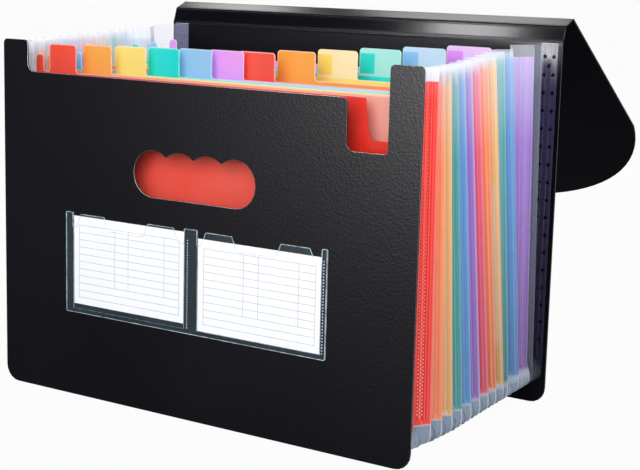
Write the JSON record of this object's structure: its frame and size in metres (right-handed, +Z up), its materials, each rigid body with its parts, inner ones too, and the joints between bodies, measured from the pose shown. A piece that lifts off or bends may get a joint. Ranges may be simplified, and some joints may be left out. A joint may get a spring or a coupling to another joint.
{
  "type": "expanding file",
  "caption": "Black expanding file standing open, with coloured tabbed dividers in clear pleated film, a finger-grip hole, a clear card pocket and a round-ended lid folded back.",
  "frame": {"origin": "on the table, under the middle of the rear cover's bottom edge", "axes": "+X to the right seen from the front, -Y towards the front, +Z up"},
  "size_m": [0.33, 0.4295, 0.2626],
  "materials": {
    "cover_black": "fine grained",
    "sheet_red": "satin translucent",
    "sheet_orange": "satin translucent",
    "sheet_yellow": "satin translucent",
    "sheet_teal": "satin translucent",
    "sheet_blue": "satin translucent",
    "sheet_purple": "satin translucent",
    "film_clear": "frosted clear",
    "pocket_clear": "clear gloss",
    "card_white": "matte, pale ruled"
  },
  "bodies": {
    "rear": {"rear_cover": "cover_black", "gusset_film": "film_clear"},
    "band_lower": {"spine_band_lower": "cover_black"},
    "band_upper": {"spine_band_upper": "cover_black"},
    "flap": {"flap": "cover_black"},
    "front": {"front_cover": "cover_black", "label_pocket": "pocket_clear"},
    "card_left": {"label_card_left": "card_white"},
    "card_right": {"label_card_right": "card_white"},
    "sheet_01": {"divider_01": "sheet_red"},
    "sheet_02": {"divider_02": "sheet_orange"},
    "sheet_03": {"divider_03": "sheet_yellow"},
    "sheet_04": {"divider_04": "sheet_teal"},
    "sheet_05": {"divider_05": "sheet_blue"},
    "sheet_06": {"divider_06": "sheet_purple"},
    "sheet_07": {"divider_07": "sheet_red"},
    "sheet_08": {"divider_08": "sheet_orange"},
    "sheet_09": {"divider_09": "sheet_yellow"},
    "sheet_10": {"divider_10": "sheet_teal"},
    "sheet_11": {"divider_11": "sheet_blue"},
    "sheet_12": {"divider_12": "sheet_purple"}
  },
  "joints": [
    {"name": "expand", "type": "slide", "parent": "rear", "child": "front", "axis": [0, 1, 0], "range_m": [0, 0.146], "deforming": ["gusset_film"]},
    {"name": "sheet_01_slide", "type": "slide", "parent": "rear", "child": "sheet_01", "axis": [0, 1, 0], "range_m": [0, 0.135]},
    {"name": "sheet_02_slide", "type": "slide", "parent": "rear", "child": "sheet_02", "axis": [0, 1, 0], "range_m": [0, 0.1262]},
    {"name": "sheet_03_slide", "type": "slide", "parent": "rear", "child": "sheet_03", "axis": [0, 1, 0], "range_m": [0, 0.1183]},
    {"name": "sheet_04_slide", "type": "slide", "parent": "rear", "child": "sheet_04", "axis": [0, 1, 0], "range_m": [0, 0.1114]},
    {"name": "sheet_05_slide", "type": "slide", "parent": "rear", "child": "sheet_05", "axis": [0, 1, 0], "range_m": [0, 0.1055]},
    {"name": "sheet_06_slide", "type": "slide", "parent": "rear", "child": "sheet_06", "axis": [0, 1, 0], "range_m": [0, 0.1005]},
    {"name": "sheet_07_slide", "type": "slide", "parent": "rear", "child": "sheet_07", "axis": [0, 1, 0], "range_m": [0, 0.0965]},
    {"name": "sheet_08_slide", "type": "slide", "parent": "rear", "child": "sheet_08", "axis": [0, 1, 0], "range_m": [0, 0.0845]},
    {"name": "sheet_09_slide", "type": "slide", "parent": "rear", "child": "sheet_09", "axis": [0, 1, 0], "range_m": [0, 0.0708]},
    {"name": "sheet_10_slide", "type": "slide", "parent": "rear", "child": "sheet_10", "axis": [0, 1, 0], "range_m": [0, 0.0556]},
    {"name": "sheet_11_slide", "type": "slide", "parent": "rear", "child": "sheet_11", "axis": [0, 1, 0], "range_m": [0, 0.0388]},
    {"name": "sheet_12_slide", "type": "slide", "parent": "rear", "child": "sheet_12", "axis": [0, 1, 0], "range_m": [0, 0.0203]},
    {"name": "spine_lower", "type": "hinge", "parent": "rear", "child": "band_lower", "pos_m": [0, 0, 0.247], "axis": [1, 0, 0], "range_deg": [-6.7, 50]},
    {"name": "spine_upper", "type": "hinge", "parent": "band_lower", "child": "band_upper", "pos_m": [0, 0.0034, 0.25746], "axis": [1, 0, 0], "range_deg": [-10.6, 79]},
    {"name": "lid", "type": "hinge", "parent": "band_upper", "child": "flap", "pos_m": [0, 0.01436, 0.26234], "axis": [1, 0, 0], "range_deg": [-12, 90.4]},
    {"name": "card_left_slide", "type": "slide", "parent": "front", "child": "card_left", "axis": [0, 0, 1], "range_m": [0, 0.066]},
    {"name": "card_right_slide", "type": "slide", "parent": "front", "child": "card_right", "axis": [0, 0, 1], "range_m": [0, 0.066]}
  ],
  "couplings": [
    {"joint": "sheet_01_slide", "follows": "expand", "ratio": 0.9231},
    {"joint": "sheet_02_slide", "follows": "expand", "ratio": 0.8626},
    {"joint": "sheet_03_slide", "follows": "expand", "ratio": 0.8088},
    {"joint": "sheet_04_slide", "follows": "expand", "ratio": 0.7615},
    {"joint": "sheet_05_slide", "follows": "expand", "ratio": 0.7209},
    {"joint": "sheet_06_slide", "follows": "expand", "ratio": 0.6868},
    {"joint": "sheet_07_slide", "follows": "expand", "ratio": 0.6593},
    {"joint": "sheet_08_slide", "follows": "expand", "ratio": 0.5769},
    {"joint": "sheet_09_slide", "follows": "expand", "ratio": 0.4835},
    {"joint": "sheet_10_slide", "follows": "expand", "ratio": 0.3791},
    {"joint": "sheet_11_slide", "follows": "expand", "ratio": 0.2637},
    {"joint": "sheet_12_slide", "follows": "expand", "ratio": 0.1374}
  ]
}
